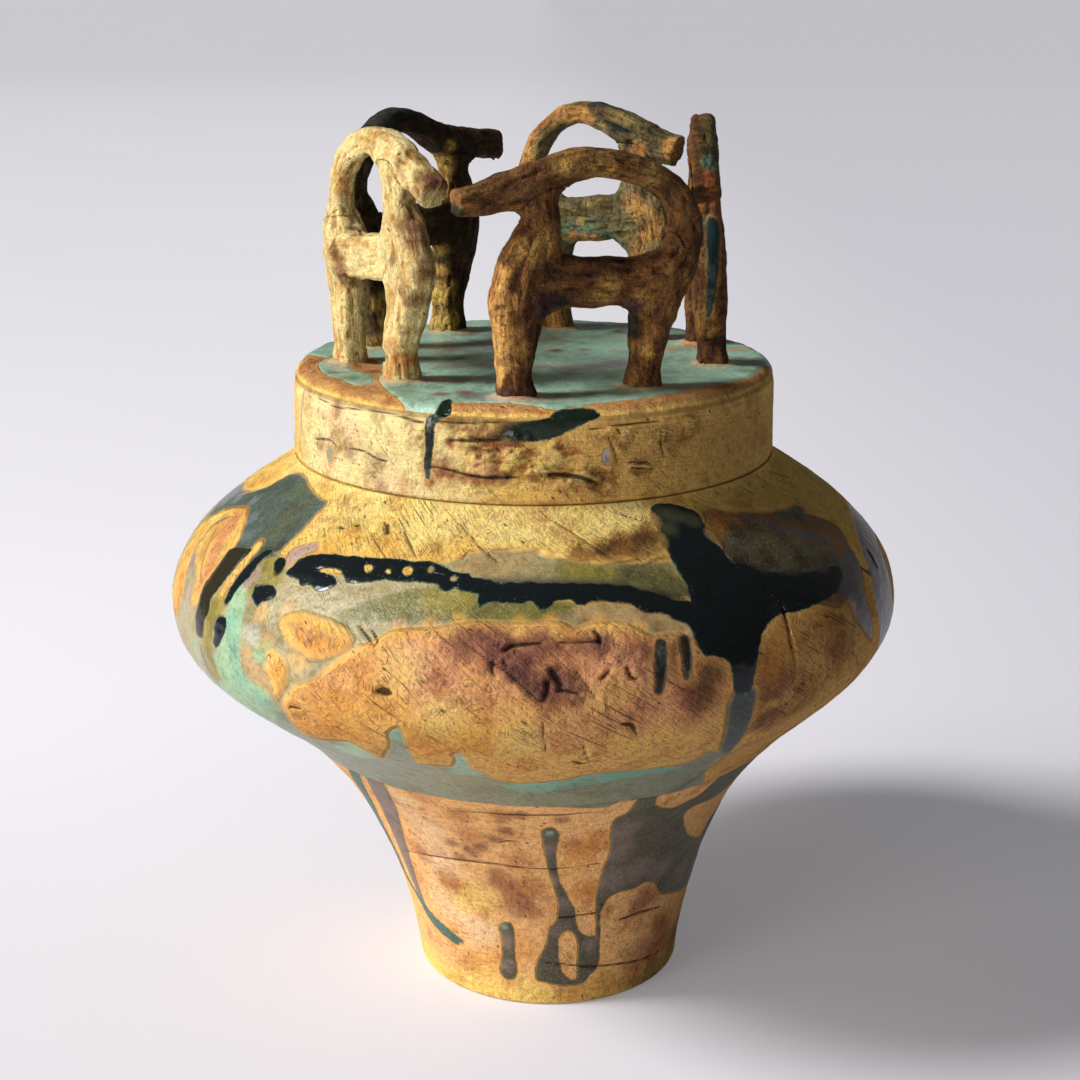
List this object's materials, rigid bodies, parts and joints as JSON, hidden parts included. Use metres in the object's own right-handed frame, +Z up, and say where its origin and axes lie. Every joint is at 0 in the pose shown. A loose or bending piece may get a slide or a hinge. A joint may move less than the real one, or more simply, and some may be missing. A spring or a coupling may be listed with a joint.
{
  "type": "lidded urn",
  "caption": "Wide-bellied stoneware urn on a narrow flared foot, with a flat cap lid that lifts off and carries a ring of long-horned goats.",
  "frame": {"origin": "on the ground, on the axis of the belly and the lid", "axes": "+Z up through the lid, +X to the viewer's right as the urn faces the camera, +Y away from the viewer"},
  "size_m": [0.2446, 0.2446, 0.2965],
  "materials": {
    "bare_clay": "unglazed buff stoneware, scratched and pitted",
    "foot_clay": "unglazed pink-buff stoneware with runs of glaze",
    "belly_glaze": "buff stoneware under poured black, olive and celadon glazes",
    "lid_glaze": "satin celadon glaze over rust-brown clay",
    "brown_clay": "dark oxide rubbed over buff clay",
    "cream_clay": "bare cream stoneware",
    "green_clay": "olive and teal glaze over brown clay"
  },
  "bodies": {
    "vessel": {"base_slab": "foot_clay", "foot_wall": "foot_clay", "lower_bowl": "belly_glaze", "upper_bowl": "belly_glaze", "rim_collar": "bare_clay"},
    "lid": {"lid_band": "bare_clay", "lid_top": "lid_glaze", "goat_1_body": "brown_clay", "goat_1_horn": "brown_clay", "goat_2_body": "cream_clay", "goat_2_horn": "cream_clay", "goat_3_body": "green_clay", "goat_3_horn": "green_clay", "goat_4_body": "green_clay", "goat_4_horn": "green_clay", "goat_5_body": "brown_clay", "goat_5_horn": "brown_clay"}
  },
  "joints": [
    {"name": "lid_lift", "type": "slide", "parent": "vessel", "child": "lid", "axis": [0, 0, 1], "range_m": [0, 0.12]}
  ]
}
